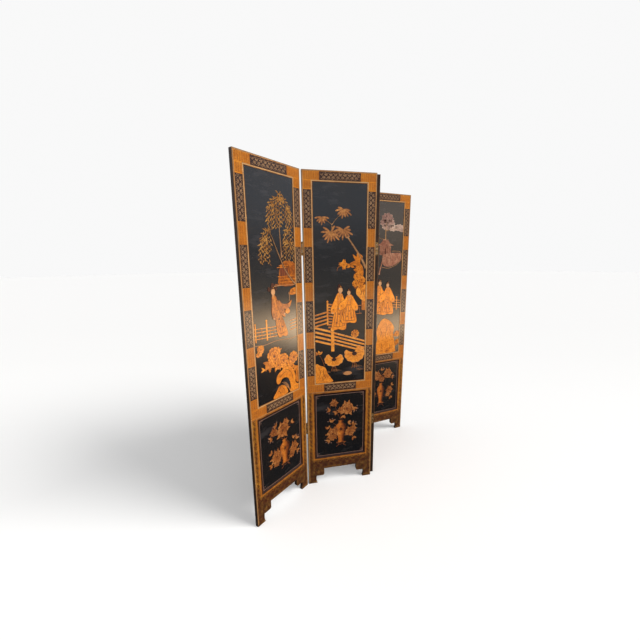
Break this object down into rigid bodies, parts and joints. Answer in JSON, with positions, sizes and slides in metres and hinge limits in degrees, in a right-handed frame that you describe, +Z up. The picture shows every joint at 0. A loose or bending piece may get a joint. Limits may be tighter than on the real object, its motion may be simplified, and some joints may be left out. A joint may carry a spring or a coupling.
{
  "type": "folding room divider screen",
  "caption": "Tall folding floor screen: black lacquer boards in gilt frames with bracket feet, the panels joined edge to edge by pairs of brass butt hinges.",
  "frame": {"origin": "on the floor, at the middle of the plan outline of the screen as it stands half folded", "axes": "+Z up; the decorated faces of the panels look towards -Y; +X to the right as seen from the decorated side"},
  "size_m": [0.995, 1.0417, 1.83],
  "materials": {
    "gilt_lacquer_frame": "gilt and painted lacquer over wood, satin",
    "black_lacquer_board": "black lacquer over wood, glossy",
    "hinge_leaf_brass": "aged brass, satin",
    "hinge_pin_brass": "aged brass, turned"
  },
  "bodies": {
    "panel_1": {"panel_1_left_stile": "gilt_lacquer_frame", "panel_1_right_stile": "gilt_lacquer_frame", "panel_1_top_rail": "gilt_lacquer_frame", "panel_1_middle_rail": "gilt_lacquer_frame", "panel_1_bottom_rail": "gilt_lacquer_frame", "panel_1_upper_board": "black_lacquer_board", "panel_1_lower_board": "black_lacquer_board", "panel_1_left_bracket": "gilt_lacquer_frame", "panel_1_right_bracket": "gilt_lacquer_frame", "hinge_1_2_lower_left_leaf": "hinge_leaf_brass", "hinge_1_2_upper_left_leaf": "hinge_leaf_brass"},
    "panel_2": {"panel_2_left_stile": "gilt_lacquer_frame", "panel_2_right_stile": "gilt_lacquer_frame", "panel_2_top_rail": "gilt_lacquer_frame", "panel_2_middle_rail": "gilt_lacquer_frame", "panel_2_bottom_rail": "gilt_lacquer_frame", "panel_2_upper_board": "black_lacquer_board", "panel_2_lower_board": "black_lacquer_board", "panel_2_left_bracket": "gilt_lacquer_frame", "panel_2_right_bracket": "gilt_lacquer_frame", "hinge_1_2_lower_right_leaf": "hinge_leaf_brass", "hinge_1_2_lower_pin": "hinge_pin_brass", "hinge_1_2_upper_right_leaf": "hinge_leaf_brass", "hinge_1_2_upper_pin": "hinge_pin_brass", "hinge_2_3_lower_left_leaf": "hinge_leaf_brass", "hinge_2_3_lower_pin": "hinge_pin_brass", "hinge_2_3_upper_left_leaf": "hinge_leaf_brass", "hinge_2_3_upper_pin": "hinge_pin_brass"},
    "panel_3": {"panel_3_left_stile": "gilt_lacquer_frame", "panel_3_right_stile": "gilt_lacquer_frame", "panel_3_top_rail": "gilt_lacquer_frame", "panel_3_middle_rail": "gilt_lacquer_frame", "panel_3_bottom_rail": "gilt_lacquer_frame", "panel_3_upper_board": "black_lacquer_board", "panel_3_lower_board": "black_lacquer_board", "panel_3_left_bracket": "gilt_lacquer_frame", "panel_3_right_bracket": "gilt_lacquer_frame", "hinge_2_3_lower_right_leaf": "hinge_leaf_brass", "hinge_2_3_upper_right_leaf": "hinge_leaf_brass", "hinge_3_4_lower_left_leaf": "hinge_leaf_brass", "hinge_3_4_lower_pin": "hinge_pin_brass", "hinge_3_4_upper_left_leaf": "hinge_leaf_brass", "hinge_3_4_upper_pin": "hinge_pin_brass"},
    "panel_4": {"panel_4_left_stile": "gilt_lacquer_frame", "panel_4_right_stile": "gilt_lacquer_frame", "panel_4_top_rail": "gilt_lacquer_frame", "panel_4_middle_rail": "gilt_lacquer_frame", "panel_4_bottom_rail": "gilt_lacquer_frame", "panel_4_upper_board": "black_lacquer_board", "panel_4_lower_board": "black_lacquer_board", "panel_4_left_bracket": "gilt_lacquer_frame", "panel_4_right_bracket": "gilt_lacquer_frame", "hinge_3_4_lower_right_leaf": "hinge_leaf_brass", "hinge_3_4_upper_right_leaf": "hinge_leaf_brass"}
  },
  "joints": [
    {"name": "fold_1_2", "type": "hinge", "parent": "panel_2", "child": "panel_1", "pos_m": [-0.23353, -0.19479, 0.915], "axis": [0, 0, 1], "range_deg": [-41, 139]},
    {"name": "fold_2_3", "type": "hinge", "parent": "panel_2", "child": "panel_3", "pos_m": [0.165, -0.07923, 0.915], "axis": [0, 0, 1], "range_deg": [-87.2, 92.8]},
    {"name": "fold_3_4", "type": "hinge", "parent": "panel_3", "child": "panel_4", "pos_m": [0.12428, 0.33371, 0.915], "axis": [0, 0, 1], "range_deg": [-104.3, 75.7]}
  ]
}
